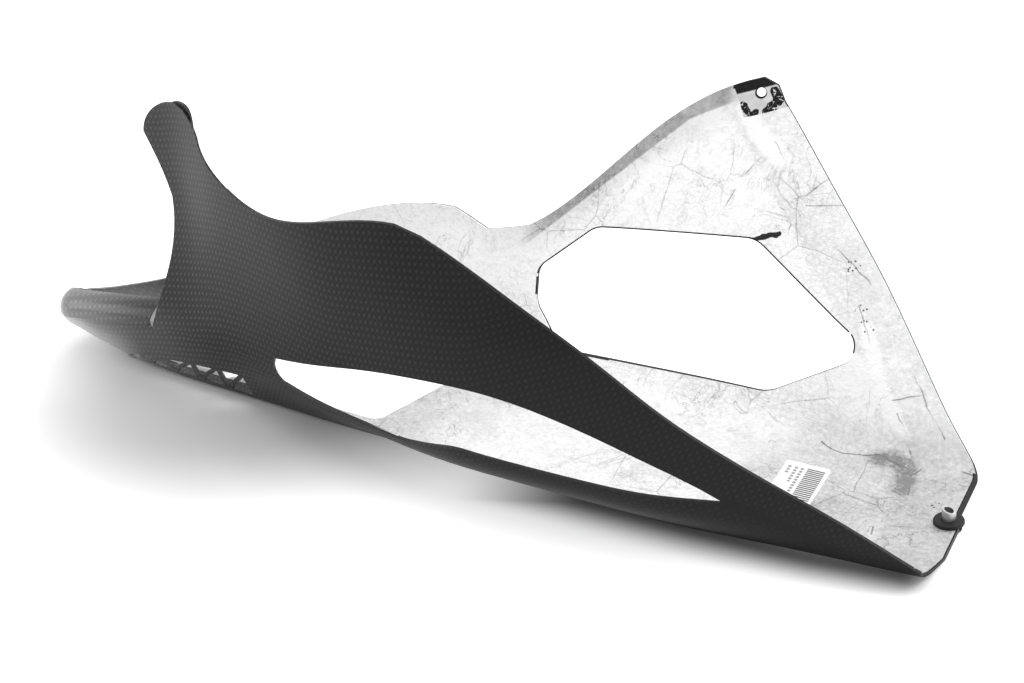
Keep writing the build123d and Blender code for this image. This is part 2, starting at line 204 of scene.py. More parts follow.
# %% Paints
class Paint:
    """A material that is being made, with the constants of its main shader."""

    def __init__(self, name, **constants):
        self.material = bpy.data.materials.new(name)
        self.material.use_nodes = True
        self.tree = self.material.node_tree
        self.shader = self.tree.nodes["Principled BSDF"]
        for socket, value in constants.items():
            self.shader.inputs[socket.replace("_", " ")].default_value = value

    def add(self, kind, settings=(), inputs=(), output=0):
        return Field(self.tree, add_node(self.tree, kind, settings, inputs).outputs[output])

    def place(self):
        """Place on the object, in metres."""
        return self.add("ShaderNodeTexCoord", output="Object")

    def girth_map(self):
        """Place along the pan and round its girth, in metres."""
        return self.add("ShaderNodeUVMap", {"uv_map": "girth"})

    def vector(self, x, y, z=0.0):
        return self.add("ShaderNodeCombineXYZ", inputs={0: x, 1: y, 2: z})

    def noise(self, place, scale, detail=2.0, roughness=0.5, distortion=0.0):
        inputs = {"Vector": place, "Scale": scale, "Detail": detail}
        inputs.update({"Roughness": roughness, "Distortion": distortion})
        return self.add("ShaderNodeTexNoise", inputs=inputs)

    def cells(self, place, scale, feature="F1"):
        return self.add("ShaderNodeTexVoronoi", {"feature": feature}, {"Vector": place, "Scale": scale})

    def mix(self, share, first, second):
        """Colour between two colours."""
        inputs = {0: share, 6: first, 7: second}
        return self.add("ShaderNodeMix", {"data_type": "RGBA"}, inputs, 2)

    def bump(self, height, distance, strength):
        inputs = {"Height": height, "Distance": distance, "Strength": strength}
        self.wire("Normal", self.add("ShaderNodeBump", inputs=inputs))

    def wire(self, socket, field):
        put(self.tree, self.shader.inputs[socket], field)


def grey(level):
    return (level, level, level, 1.0)


print("a paint can", sorted(name for name in vars(Paint) if not name.startswith("_")))

# %% [markdown]
# ## Lines plan
# A boat's hull is drawn as long curves, its lines, and so is this pan. The laminate and the foil are
# flexible sheets laid into a mould, so their patterns follow the girth. A flat projection would stretch
# them on the steep sides. The curves that shaped the shell are repeated here, in millimetres, to measure
# the distance round each section.

# %% Lines plan
TRIM_TOP, BEND_Z, FLAT_CUT = 250.0, 106.0, 0.4
NEAR_KEEL_Y = ((-386, -36), (-330, -46), (-200, -56), (-80, -61), (30, -71), (150, -65), (196, -66))
NEAR_CHINE_Y = (
    (-386, -56.6), (-311, -57.2), (-250, -66), (-150, -104), (-60, -121), (20, -116), (110, -88), (196, -74),
)
NEAR_CHINE_Z = ((-386, 33), (-310, 35), (-250, 36), (-150, 38), (-60, 37), (20, 33), (110, 19), (196, 11))
NEAR_BEND_Y = (
    (-386, -38), (-300, -34), (-250, -59), (-150, -105), (-60, -121), (20, -114), (110, -86), (196, -76),
)
NEAR_LEAN = ((-386, -5), (-250, -4), (-150, 7), (-60, 21), (20, 21), (110, 8), (196, 0))
FAR_KEEL_Y = ((-386, -18), (-340, 6), (-250, 36), (-150, 49), (-30, 51), (100, 46), (150, 43), (196, 46))
FAR_LEAN = ((-386, 5), (-300, 12), (-150, 24), (-60, 29), (100, 29), (196, 34))
FAR_FOLD_Z = (
    (-386, 28), (-300, 38), (-246, 63), (-187, 76), (-160, 77), (-138, 67), (-115, 72),
    (-70, 109), (-38, 138), (5, 150), (130, 28), (196, 28),
)
FAR_FOLD_LEAN = ((-386, 0), (-250, -4), (-60, -6), (-25, -2), (25, 39), (196, 39))
KEEL_RISE = ((-386, 13), (-340, 4), (-280, 0), (148, 0), (196, 4))


def rail(knots, x):
    return np.interp(x, [knot[0] for knot in knots], [knot[1] for knot in knots])


def slope(knots, x):
    return math.tan(math.radians(rail(knots, x)))


def girth_line(x):
    """Corners (y, z) of the section at x, from the near top to the far top."""
    low = rail(KEEL_RISE, x) - FLAT_CUT
    bend_y, keel_y, fold_z = rail(NEAR_BEND_Y, x), rail(FAR_KEEL_Y, x), rail(FAR_FOLD_Z, x)
    fold_y = keel_y + (fold_z - low) * slope(FAR_LEAN, x)
    return np.array([
        (bend_y + (TRIM_TOP - BEND_Z) * slope(NEAR_LEAN, x), TRIM_TOP),
        (bend_y, BEND_Z),
        (rail(NEAR_CHINE_Y, x), rail(NEAR_CHINE_Z, x)),
        (rail(NEAR_KEEL_Y, x), low),
        (keel_y, low),
        (fold_y, fold_z),
        (fold_y + (TRIM_TOP - fold_z) * slope(FAR_FOLD_LEAN, x), TRIM_TOP),
    ])


print("section at x = 0:", girth_line(0).round(1).tolist())

# %% [markdown]
# ## Girth map
# Each point of a mesh belongs to the nearest straight run of its section. Its place along the pan and its
# distance round the girth go into a UV layer, in metres, so that a pattern on the map keeps its real size.

# %% Girth map
FLOOR_RUN = 3


def nearest_run(x, y, z):
    """Number of the run that passes nearest to a point, the point's share along it, and all the runs."""
    line = girth_line(x)
    start, runs = line[:-1], np.diff(line, axis=0)
    share = np.clip(((np.array((y, z)) - start) * runs).sum(1) / (runs ** 2).sum(1), 0, 1)
    miss = np.hypot(*(start + runs * share[:, None] - (y, z)).T)
    nearest = int(miss.argmin())
    return nearest, share[nearest], runs


def girth_place(x, y, z):
    """Distance round the section, in millimetres, from the near edge of the floor."""
    nearest, share, runs = nearest_run(x, y, z)
    lengths = np.hypot(*runs.T)
    return lengths[:nearest].sum() + share * lengths[nearest] - lengths[:FLOOR_RUN].sum()


print("distance across the floor at x = 0:", round(float(girth_place(0, 51, 0)), 1), "mm")

# %% [markdown]
# ## Dressed copies
# A CAD mesh is never changed, so the shell, the leaf behind the ear and the sheets of foil are copies that
# stand for their nodes. A copy can carry the map and, where the near and the far trim leave a small step in
# the bead at the rear, it can be faired.

# %% Dressed copies
BEAD_X, BEAD_Y, BEAD_FAR_Z = -370, (-20, -14), 26.9
BEAD_NEAR_Z, BEAD_FALL = 28.8, 0.32


def fair_bead(mesh):
    """Lowers the step in the rear bead to a slope."""
    for vertex in mesh.vertices:
        x, y, z = vertex.co * 1000
        if x < BEAD_X and BEAD_Y[0] < y <= BEAD_Y[1] and z > BEAD_FAR_Z:
            vertex.co.z = min(z, BEAD_NEAR_Z - BEAD_FALL * (y - BEAD_Y[0])) / 1000


def dressed(name, node):
    """Copy of a node that stands for it, with the girth map on its mesh."""
    mesh = nodes[node].data.copy()
    mesh.materials.clear()
    fair_bead(mesh)
    places = np.array([vertex.co for vertex in mesh.vertices]) * 1000
    girth = np.array([girth_place(*place) for place in places])
    layer = mesh.uv_layers.new(name="girth")
    for loop in mesh.loops:
        layer.data[loop.index].uv = (places[loop.vertex_index][0] / 1000, girth[loop.vertex_index] / 1000)
    piece = bpy.data.objects.new(name, mesh)
    bpy.context.scene.collection.objects.link(piece)
    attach(piece, "root")
    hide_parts(node)
    return piece


shell = dressed("shell_laminate", "carbon_shell")
leaf = dressed("ear_leaf", "ear_doubler")
foils = [dressed(name + "_sheet", name) for name in ("foil_strip", "foil_floor", "foil_near", "foil_far")]
print("faces", len(shell.data.polygons), [len(foil.data.polygons) for foil in foils])

# %% [markdown]
# ## Weave
# The cloth is a plain weave: in every second cell the warp is on top, and in the others the weft. The warp
# catches the light and the weft lies dark, so every second cell shows as a soft dot. A checker texture
# would give the cells but not their crowns or threads, so both tows are worked out as arches that cross.

# %% Weave
TOW = 0.00262
WEAVE_TURN = math.radians(27.5)
WANDER = 0.35
WEFT_SHINE, WARP_GAIN = 0.26, 0.5
FRONT_SHINE, REAR_GAIN = 0.22, 1.04


def weave(paint):
    """How far each tow rises, and how brightly it shows."""
    along, round_it, _ = paint.girth_map().split()
    wander = (paint.noise(paint.place(), 14.0) - 0.5) * WANDER
    across = (along * math.cos(WEAVE_TURN) + round_it * math.sin(WEAVE_TURN)) / TOW + wander
    down = (round_it * math.cos(WEAVE_TURN) - along * math.sin(WEAVE_TURN)) / TOW + wander
    turn = (across.floor() + down.floor()) % 2.0
    warp, weft = across % 1.0, down % 1.0
    warp_crown, weft_crown = warp * (1 - warp) * 4, weft * (1 - weft) * 4
    warp_on_top = turn * warp_crown * (weft_crown * 0.5 + 0.5)
    weft_on_top = (1 - turn) * weft_crown * (warp_crown * 0.5 + 0.5)
    crown = warp_on_top + weft_on_top
    threads = paint.noise(paint.vector(across * (turn * 11 + 1), down * (12 - turn * 11)), 1.0, 1.0)
    patches = paint.noise(paint.place(), 9.0, 1.0) * 0.8 + 0.6
    shine = (turn * WARP_GAIN + WEFT_SHINE) * (crown ** 1.3) * (threads * 0.7 + 0.65) * patches
    return crown + threads * 0.15, shine * (along.rise(0.02, -0.3) * REAR_GAIN + FRONT_SHINE)


print("tows", round(TOW * 1000, 2), "mm wide, turned", round(math.degrees(WEAVE_TURN), 1), "degrees")

# %% [markdown]
# ## Strokes
# Some marks have a place of their own, such as a crease or a tear. They could be thin pieces of mesh, but
# those would stand off the surface. A stroke is only a distance: from each point on the pan to a line
# through a few points, which are given in millimetres, as the lines plan is.

# %% Strokes
def stroke(place, points):
    """Distance from a line through the points, in metres."""
    nearest = None
    for start, end in zip(points, points[1:]):
        start, span = Vector(start) / 1000, (Vector(end) - Vector(start)) / 1000
        from_start = place.shifted(-start)
        share = from_start.dot(span / span.length_squared).most(0.0).least(1.0)
        miss = from_start.vector_math("SUBTRACT", share.spread().vector_math("MULTIPLY", span)).length()
        nearest = miss if nearest is None else nearest.least(miss)
    return nearest


CHINE = ((74, -99, 42), (102, -89.6, 31.4), (135.5, -80, 15))
print("the chine's stroke has", len(CHINE), "points")

# %% [markdown]
# ## Bare corner
# Round the upper fixing hole the foil was peeled off, and scraps of it were left. They could be pieces of
# mesh, but they are thinner than paper, so they are a mask on the inner side of the shell: scraps all over
# the corner, except along two strokes with frayed edges, in a ring round the hole and above a line.

# %% Bare corner
CORNER_HOLE, HOLE_RING = (0.0092, 0.1425, 0.1702), 0.0034
CORNER_X, CORNER_Z = -0.012, 0.15
SCRAP_TOP, SCRAP_SLOPE = 0.1695, 0.3
PEELED_RIGHT = ((16.5, 146.9, 170.3), (20, 145, 166.5), (15.3, 139.2, 160.1))
PEELED_LEFT = ((0.5, 137, 162.5), (5.5, 136.3, 157.5), (8.5, 137.5, 159.0))
PEELED_WIDTH, LEFT_NARROWER = 0.0048, 0.0012


def scraps_left(paint):
    """Where scraps of foil are left in the bare corner."""
    place = paint.place()
    x, _, z = place.split()
    inward = paint.add("ShaderNodeNewGeometry", output="Normal").dot((0.0, -1.0, 0.0)).rise(0.2, 0.5)
    corner = x.rise(CORNER_X, CORNER_X + 0.004) * z.rise(CORNER_Z, CORNER_Z + 0.002)
    corner = corner * (1 - (z - x * SCRAP_SLOPE).rise(SCRAP_TOP, SCRAP_TOP + 0.001))
    rags = paint.noise(place, 420.0, 3.0, 0.55, 1.2).rise(0.58, 0.62)
    frayed = paint.noise(place, 320.0, 2.0) * 0.003
    peeled = stroke(place, PEELED_RIGHT).least(stroke(place, PEELED_LEFT) + LEFT_NARROWER) + frayed
    off_hole = place.shifted(-Vector(CORNER_HOLE)).length().rise(HOLE_RING, HOLE_RING + 0.0004)
    return inward * corner * off_hole * peeled.rise(PEELED_WIDTH, PEELED_WIDTH + 0.0003).most(rags)


print("bare corner round", CORNER_HOLE)

# %% [markdown]
# ## Laminate
# Dark fibre under a satin clear coat. A plain glossy black would be too deep and too even: the cloth is
# painted lighter towards the rear, along the lower side and at the nose as a painted reflection, the coat is
# glossy only at the nose, and where the nose turns under a pale painted reflection lies on the cloth. Along
# the chine at the front the weave's dots are dimmed as a painted shade of its crease.

# %% Laminate
COAT, NOSE_COAT = 0.12, 0.88
DARK_CLOTH, SHEEN_CLOTH = grey(0.004), grey(0.2)
BRIGHT_CLOTH, SHEEN_BRIGHT = grey(0.05), grey(0.3)


def painted_sheen(x, z):
    """Painted reflection: the cloth is lighter at the rear, along the lower side, and at the nose."""
    rear = x.rise(-0.1, -0.3) * (z.rise(0.05, 0.01) * 0.06 + 0.05)
    low_side = x.rise(-0.25, -0.31) * z.rise(0.06, 0.02) * 0.22
    nose = x.rise(-0.31, -0.385) * 0.85
    return rear + nose + low_side


def woven_laminate():
    paint = Paint("woven_laminate", Roughness=0.45, Specular_IOR_Level=0.12, Coat_Roughness=0.2)
    height, shine = weave(paint)
    scraps = scraps_left(paint)
    x, _, z = paint.place().split()
    # Painted shade of the crease along the chine: the weave's dots are dimmed there.
    chine_shade = 1 - stroke(paint.place(), CHINE).rise(0.001, 0.006)
    shine = shine * (1 - chine_shade * 0.8)
    sheen = painted_sheen(x, z)
    dark = paint.mix(sheen, DARK_CLOTH, SHEEN_CLOTH)
    bright = paint.mix(sheen, BRIGHT_CLOTH, SHEEN_BRIGHT)
    # Painted reflection where the nose turns under: the cloth turns pale grey there.
    nose_underside_reflection = x.rise(-0.315, -0.36) * z.rise(0.03, 0.008) * 0.7
    cloth = paint.mix(nose_underside_reflection, paint.mix(shine, dark, bright), grey(0.6))
    scrap_colour = paint.mix(paint.noise(paint.place(), 260.0, 3.0), grey(0.5), grey(0.85))
    paint.wire("Base Color", paint.mix(scraps, cloth, scrap_colour))
    paint.wire("Coat Weight", COAT - scraps * COAT + x.rise(-0.28, -0.35) * NOSE_COAT)
    paint.bump(height * 0.5 + scraps * 2.0, 0.00012, 0.3)
    return paint.material


carbon = woven_laminate()
for piece in (shell, leaf):
    piece.data.materials.append(carbon)
print("laminate nodes", len(carbon.node_tree.nodes))

# %% [markdown]
# ## Marks on the foil
# The foil was pressed on by hand. Its large creases, the tear over the window, a painted shade in the fold
# at the floor's front corner, painted highlights along two ridges and the pinholes are where the photograph
# has them, because the eye finds them at once. Each is a stroke, or a centre and a reach in millimetres.

# %% Marks on the foil
CREASES = (
    ((24, 129, 146), (37, 122, 133), (48, 114, 120), (44, 104, 103)),
    ((48, 114, 120), (58, 124, 130)),
    ((0, 106, 103), (10, 118, 127), (21, 126, 142)),
    ((51, 112, 117), (73, 120, 118)),
    ((97, 97, 81), (85, 101, 90), (75, 103, 97)),
    ((131, 56, 25), (141.9, 46.8, 9), (147.5, 35, 3), (149.9, 21.9, 2), (151.2, 8.9, 2)),
    ((127, 60, 31), (144, 63, 36)),
    ((127, 75, 49), (144, 62, 34), (160, 51, 17)),
    ((141.1, 9.8, 2), (143.4, -38.2, 2)),
    ((148.8, 30.5, 2), (154.1, 41.1, 3), (163.5, 41.9, 4.7), (173, 40.8, 4.6), (182, 39.1, 4.6)),
    ((165.6, -27.8, 2), (184, -26.6, 2)),
    ((94, 88, 71), (108, 75, 51)),
    ((92, 40, 4.4), (105, 35.4, 2.4), (125.5, 39.8, 3.9), (143.4, 35.2, 2.5)),
)
TEAR = ((15, 99.6, 93.6), (23, 99.6, 94.0), (28.5, 101.1, 96.6), (38.5, 102.3, 100.0))
# Painted shade in the fold at the floor's front corner.
CORNER_SHADE = ((126.6, 36.6, 2), (134.7, 39.2, 3), (142.4, 36.9, 2.5), (146.6, 23.7, 2), (146.7, 12.4, 2))
# Painted highlights along two ridges of the foil.
UPPER_RIDGE_HIGHLIGHT = ((2, 137, 161), (12, 133, 150), (30, 124, 138))
LOWER_RIDGE_HIGHLIGHT = ((101.9, 81.5, 60), (116.9, 64.1, 35.7), (137.6, 50, 14.2))
PINHOLES = (
    ((97, 86.5, 69), 7), ((101.5, 83, 63), 7), ((105, 80, 58), 6), ((170, 2, 2), 9), ((85, 101, 90), 8),
)
TEAR_WIDTH = 0.0027


def crease_lines(loose):
    """1 on a drawn crease and 0 off it."""
    creases = None
    for points in CREASES:
        line = 1 - stroke(loose, points).rise(0.0001, 0.0006)
        creases = line if creases is None else creases.most(line)
    return creases


def open_places(paint, patches):
    """The tear over the window and the pinholes, which show the dark laminate."""
    place = paint.place()
    frayed = paint.noise(place, 300.0, 2.0) * 0.0025
    tear = 1 - (stroke(place, TEAR) + frayed).rise(TEAR_WIDTH, TEAR_WIDTH + 0.0004)
    near_centre = 0.0
    for centre, reach in PINHOLES:
        distance = place.shifted(-Vector(centre) / 1000).length()
        near_centre = near_centre + (1 - distance.rise(0.3 * reach / 1000, reach / 1000))
    pricks = 1 - paint.cells(place, 420.0).rise(0.2, 0.26)
    return tear.most(pricks * (near_centre + patches - 0.75).rise(0.1, 0.5))


print("creases", len(CREASES), "groups of pinholes", len(PINHOLES))

# %% [markdown]
# ## Shades of the foil
# The foil isn't equally bright all over, and these greys are painted shade. Its floor is darker low down and
# more so at the front and the rear, the strip that laps the mouth is darker than the sheets behind it, and a
# grey band is turned in along the far side's top, where it faces down.

# %% Shades of the foil
STRIP_FROM, STRIP_GREY = 0.146, 0.13
FLOOR_GREY, FRONT_GREY, REAR_GREY = 0.18, 0.24, 0.25


# Painted shade: darker low down, on the floor's front and rear, and on the strip.
def shade_low_down(x, z):
    on_floor = z.rise(0.02, 0.0) * (x.rise(0.03, 0.11) * FRONT_GREY + x.rise(-0.08, -0.15) * REAR_GREY)
    on_strip = (x + z).rise(STRIP_FROM, STRIP_FROM + 0.006) * STRIP_GREY
    return z.rise(0.035, 0.0) * FLOOR_GREY + on_floor + on_strip


def turned_in_band_shade(x, y, z):
    """Painted shade on the band under the far side's top edge, which turns in and faces down."""
    top_line = (x * 0.935 + 0.1790).least(x * 0.49 + 0.1660)
    reach = x.rise(0.0, -0.012) * x.rise(-0.125, -0.1) * y.rise(0.02, 0.04)
    return (z - top_line).rise(0.0, 0.002) * reach


print("the strip begins where x + z is", STRIP_FROM, "m")

# %% [markdown]
# ## Crumpled foil
# Bright metal that is too rough to mirror, so it is mostly a pale colour with a little metal in it. Real
# crumpling could be simulated as cloth, but these dents are under a tenth of a millimetre deep. Noise gives
# the grain, the dents and the meandering wrinkles, the borders of large cells give a net of sharp creases,
# and the borders of small ones the leathery skin. All of them move the normal. The grain and the dents also
# vary the colour at random, and the creases, wrinkles, net and skin darken it as painted shade in their
# folds.

# %% Crumpled foil
# The dark end of the foil's colour serves real smears and painted shade alike.
BRIGHT_FOIL, FOIL_DIRT_AND_SHADE, SEEN_THROUGH = grey(0.95), grey(0.16), grey(0.006)
WOBBLE = 0.004
METAL = 0.3


def crumpled_foil():
    paint = Paint("crumpled_foil", Roughness=0.5, Specular_IOR_Level=0.3)
    place = paint.place()
    x, y, z = place.split()
    half = -WOBBLE / 2
    wobble = paint.noise(place, 60.0, 2.0).spread().scaled(WOBBLE).shifted((half, half, half))
    loose = place.shifted(wobble)

    grain = paint.noise(place, 380.0, 3.0, 0.6, 0.4)
    dents = paint.noise(place, 75.0, 3.0, 0.6, 0.8)
    patches = paint.noise(place, 13.0, 2.0)
    net = (1 - paint.cells(loose, 26.0, "DISTANCE_TO_EDGE").rise(0.0, 0.012)) * patches.rise(0.48, 0.6)
    leather = (1 - paint.cells(loose, 300.0, "DISTANCE_TO_EDGE").rise(0.0, 0.14)) * patches.rise(0.3, 0.7)
    meander = 1 - abs(paint.noise(loose, 30.0, 4.0, 0.62, 0.8) - 0.5).rise(0.0, 0.008)
    wrinkles = meander * paint.noise(place, 19.0, 1.0).rise(0.42, 0.6)
    smears = paint.noise(place, 24.0, 4.0, 0.6, 0.4).rise(0.45, 0.8)

    creases = crease_lines(loose)
    holes = open_places(paint, patches)
    # Painted shade in the fold at the floor's front corner.
    corner_shade = (1 - stroke(loose, CORNER_SHADE).rise(0.0, 0.010)) * (grain * 1.2 + 0.2)
    # Painted highlights along two ridges.
    upper_ridge_highlight = 1 - stroke(loose, UPPER_RIDGE_HIGHLIGHT).rise(0.001, 0.008)
    lower_ridge_highlight = 1 - stroke(place, LOWER_RIDGE_HIGHLIGHT).rise(0.001, 0.006)

    mottled = (grain - 0.5) * 0.55 + (dents - 0.5) * 0.25 - 0.01
    # The creases, wrinkles, net and skin darken the colour as painted shade in their folds.
    lines = creases * 0.5 + wrinkles * 0.3 + net * 0.25 + leather * 0.13
    # The smears are stains. The corner, the turned-in band and the greys low down are painted shade.
    stains_and_shade = smears * 0.2 + corner_shade * 0.6 + turned_in_band_shade(x, y, z) * 0.6 + shade_low_down(x, z)
    marks = lines + stains_and_shade + mottled - upper_ridge_highlight * 0.3 - lower_ridge_highlight * 0.25
    clean = paint.mix(marks.least(0.9).most(0.0), BRIGHT_FOIL, FOIL_DIRT_AND_SHADE)
    paint.wire("Base Color", paint.mix(holes, clean, SEEN_THROUGH))
    paint.wire("Metallic", METAL - holes * METAL)
    raised = dents * 0.8 + grain * 0.5
    sunk = leather * 0.12 + creases * 0.4 + net * 0.3 + wrinkles * 0.25
    paint.bump(raised - sunk, 0.0016, 0.7)
    return paint.material


foil = crumpled_foil()
print("foil nodes", len(foil.node_tree.nodes))

# %% [markdown]
# ## Cut edges
# A sheet of foil ends in a cut edge under half a millimetre high, where the dark glue and laminate show.
# The edges could be picked by hand, but a new trim would lose them. They are found by their shape: narrow
# faces that stand across the skin, apart from those on a seam between two sheets.

# %% Cut edges
SEAM_Z, STRIP_SEAM, MIDDLE_Y, ON_SEAM = 12.0, 146.0, -14.0, 0.05
TORN_X, TORN_Z = (-7, 27), (150, 170)
EDGE_WIDTH, EDGE_LENGTH, EDGE_TILT = 0.0009, 0.0010, 0.8
BARE_X = -0.27


def skin_normal(place):
    """Direction across the sheet at a place, from the lines plan."""
    nearest, _, runs = nearest_run(*(place * 1000))
    return Vector((0, -runs[nearest][1], runs[nearest][0])).normalized()


def on_seam(place):
    """Whether a point lies where two sheets of foil meet, or where scraps carry on from the foil."""
    x, y, z = place * 1000
    torn = TORN_X[0] < x < TORN_X[1] and TORN_Z[0] < z < TORN_Z[1] and y > 0
    return torn or min(abs(z - SEAM_Z), abs(x + z - STRIP_SEAM), abs(y - MIDDLE_Y)) < ON_SEAM


def is_cut_edge(face):
    """Whether a face is the narrow cut edge of a sheet."""
    longest = max(edge.calc_length() for edge in face.edges)
    narrow = 2 * face.calc_area() / longest < EDGE_WIDTH and longest > EDGE_LENGTH
    return narrow and abs(face.normal.dot(skin_normal(face.calc_center_median()))) < EDGE_TILT


def dark_parts(piece, x, material):
    """Gives the sheet's cut edges, and all of it that lies behind x, another material."""
    mesh = bmesh.new()
    mesh.from_mesh(piece.data)
    whole = mesh.verts[:] + mesh.edges[:] + mesh.faces[:]
    bmesh.ops.bisect_plane(mesh, geom=whole, plane_co=(x, 0, 0), plane_no=(1, 0, 0))
    piece.data.materials.append(material)
    for face in mesh.faces:
        middle = face.calc_center_median()
        face.material_index = int(middle.x < x or (is_cut_edge(face) and not on_seam(middle)))
    mesh.to_mesh(piece.data)
    mesh.free()


print("no foil behind x =", BARE_X, "m")

# %% [markdown]
# ## Ribbons on the edges
# Seen from the camera, the foil's free edges are thin black outlines where they look down, and where they
# look up the foil laps over them. A cut edge alone is too thin to show either, so a ribbon about one
# millimetre wide lies along it. The floor's opening is cut clean and has none.

# %% Ribbons along an edge
RIM_WIDTH, LAP_WIDTH, RIM_LIFT = 0.0009, 0.0011, 0.00006
SHARP_FOLD, FACES_IN, LOOKS_UP = 0.6, 0.2, 0.2
LAP_FROM_Y = -0.068
OPENING_X, OPENING_Z = -0.05, 0.02
MOUTH_CORNER_X, MOUTH_CORNER_Z = 0.150, 0.006


def has_no_ribbon(place):
    """Whether an edge lies behind the foil or on the floor's opening."""
    return place.x < BARE_X or (place.x < OPENING_X and place.z < OPENING_Z)


def has_lap(place, cut):
    """Whether the foil laps over the cut edge: not on the near side, and not at the mouth's low corner."""
    at_corner = place.x > MOUTH_CORNER_X and place.z < MOUTH_CORNER_Z
    return cut.normal.z > LOOKS_UP and place.y > LAP_FROM_Y and not at_corner


def strip_on(face, edge, width):
    """Four corners of a strip on a face, along one of its edges."""
    a, b = (vertex.co.copy() for vertex in edge.verts)
    third = next(vertex.co for vertex in face.verts if vertex not in edge.verts)
    run = (b - a).normalized()
    step = ((third - a) - run * (third - a).dot(run)).normalized() * width
    lift = face.normal * RIM_LIFT
    return [a + lift, b + lift, b + step + lift, a + step + lift]


def ribbons_along(sheet):
    """Strips for the sheet's free edges: dark ones, and laps of foil."""
    mesh = bmesh.new()
    mesh.from_mesh(sheet.data)
    bmesh.ops.remove_doubles(mesh, verts=mesh.verts, dist=1e-6)
    dark, laps = [], []
    for edge in mesh.edges:
        a, b = (vertex.co for vertex in edge.verts)
        if len(edge.link_faces) != 2 or edge.calc_face_angle() < SHARP_FOLD or (on_seam(a) and on_seam(b)):
            continue
        cut = [face for face in edge.link_faces if is_cut_edge(face)]
        skin = [face for face in edge.link_faces if face not in cut]
        inner = Vector((0, -1 if a.y > 0.001 * MIDDLE_Y else 1, 1))
        if len(cut) != 1 or skin[0].normal.dot(inner) < FACES_IN or has_no_ribbon(a):
            continue
        if has_lap(a, cut[0]):
            laps.append(strip_on(cut[0], edge, LAP_WIDTH))
        else:
            dark.append(strip_on(skin[0], edge, RIM_WIDTH))
    mesh.free()
    return dark, laps


found = [ribbons_along(piece) for piece in foils]
print("strips on each sheet", [(len(dark), len(laps)) for dark, laps in found])

# %% [markdown]
# ## Foil in place
# The strips become two pieces, a dark rim and a lap of foil, and the sheets get their own materials last,
# because cutting them at the bare rear adds edges that would be taken for free ones.

# %% Foil in place
def ribbon_piece(name, strips, material):
    """One piece made of four-cornered strips."""
    mesh = bpy.data.meshes.new(name)
    corners = [corner for strip in strips for corner in strip]
    mesh.from_pydata(corners, [], [range(4 * k, 4 * k + 4) for k in range(len(strips))])
    mesh.materials.append(material)
    piece = bpy.data.objects.new(name, mesh)
    bpy.context.scene.collection.objects.link(piece)
    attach(piece, "root")
    return piece


dark_rim = ribbon_piece("foil_rim", sum((dark for dark, _ in found), []), carbon)
foil_lap = ribbon_piece("foil_lap", sum((laps for _, laps in found), []), foil)
for piece in foils:
    piece.data.materials.append(foil)
    dark_parts(piece, BARE_X, carbon)
print("ribbons", len(dark_rim.data.polygons), len(foil_lap.data.polygons))

# %% [markdown]
# ## Grommet and sleeve
# A rubber grommet sits in the front lip and holds a turned metal sleeve. Their CAD shapes are right, so the
# nodes stay and only get materials: rubber is nearly black with a fine speck, and the metal has the rings
# that a lathe leaves and a little wear.

# %% Grommet and sleeve
def moulded_rubber():
    paint = Paint("moulded_rubber", Roughness=0.55, Specular_IOR_Level=0.3)
    speck = paint.noise(paint.place(), 900.0, 3.0)
    paint.wire("Base Color", paint.mix(speck, grey(0.004), grey(0.014)))
    paint.bump(speck, 0.0001, 0.3)
    return paint.material


def turned_metal():
    paint = Paint("turned_metal", Metallic=1.0, Roughness=0.38)
    _, _, z = paint.place().split()
    rings = (z * 9000.0).sine() * 0.5 + 0.5
    worn = paint.noise(paint.place(), 320.0, 3.0)
    paint.wire("Base Color", paint.mix(worn, grey(0.28), grey(0.62)))
    paint.bump(rings * 0.4 + worn, 0.00006, 0.4)
    return paint.material


for node, material in (("lip_grommet", moulded_rubber()), ("lip_sleeve", turned_metal())):
    nodes[node].data.materials.clear()
    nodes[node].data.materials.append(material)
print("fittings", [nodes[name].data.materials[0].name for name in ("lip_grommet", "lip_sleeve")])

# %% [markdown]
# ## Sticker
# A small paper sticker lies on the floor of the pan. Its bars are all alike and its dashes stand for lines
# of print, so neither says anything. They are worked out in the sticker's own measure, from -0.5 to 0.5.

# %% Sticker
LABEL_PLACE = (0.092, -0.0045)
LABEL_SIZE = (0.0265, 0.040)
BARS, DASHES = 20.0, 13.0
PRINT_COLUMNS = ((-0.08, -0.36, 0.40), (-0.21, -0.05, 0.40), (-0.36, 0.14, 0.40))
COLUMN_HALF, SOFT = 0.035, 0.01


def printed_sticker():
    paint = Paint("printed_sticker", Roughness=0.45, Specular_IOR_Level=0.4)
    x, y, _ = paint.place().split()
    across, down = (x - LABEL_PLACE[0]) / LABEL_SIZE[0], (y - LABEL_PLACE[1]) / LABEL_SIZE[1]
    bars = ((down * BARS) % 1.0).within(0.22, 0.78, 0.08)
    bars = bars * across.within(0.03, 0.42, SOFT) * down.within(-0.44, 0.41, SOFT)
    dashes = ((down * DASHES) % 1.0).within(0.15, 0.8, 0.1)
    print_lines = 0.0
    for middle, low, high in PRINT_COLUMNS:
        column = across.within(middle - COLUMN_HALF, middle + COLUMN_HALF, SOFT)
        print_lines = print_lines + column * down.within(low, high, SOFT) * dashes
    ink = bars.most(print_lines * 0.7)
    paint.wire("Base Color", paint.mix(ink, grey(0.9), grey(0.03)))
    paint.bump(paint.noise(paint.place(), 700.0) + ink * 0.2, 0.00005, 0.2)
    return paint.material


nodes["stock_label"].data.materials.clear()
nodes["stock_label"].data.materials.append(printed_sticker())
print("sticker", nodes["stock_label"].data.materials[0].name)

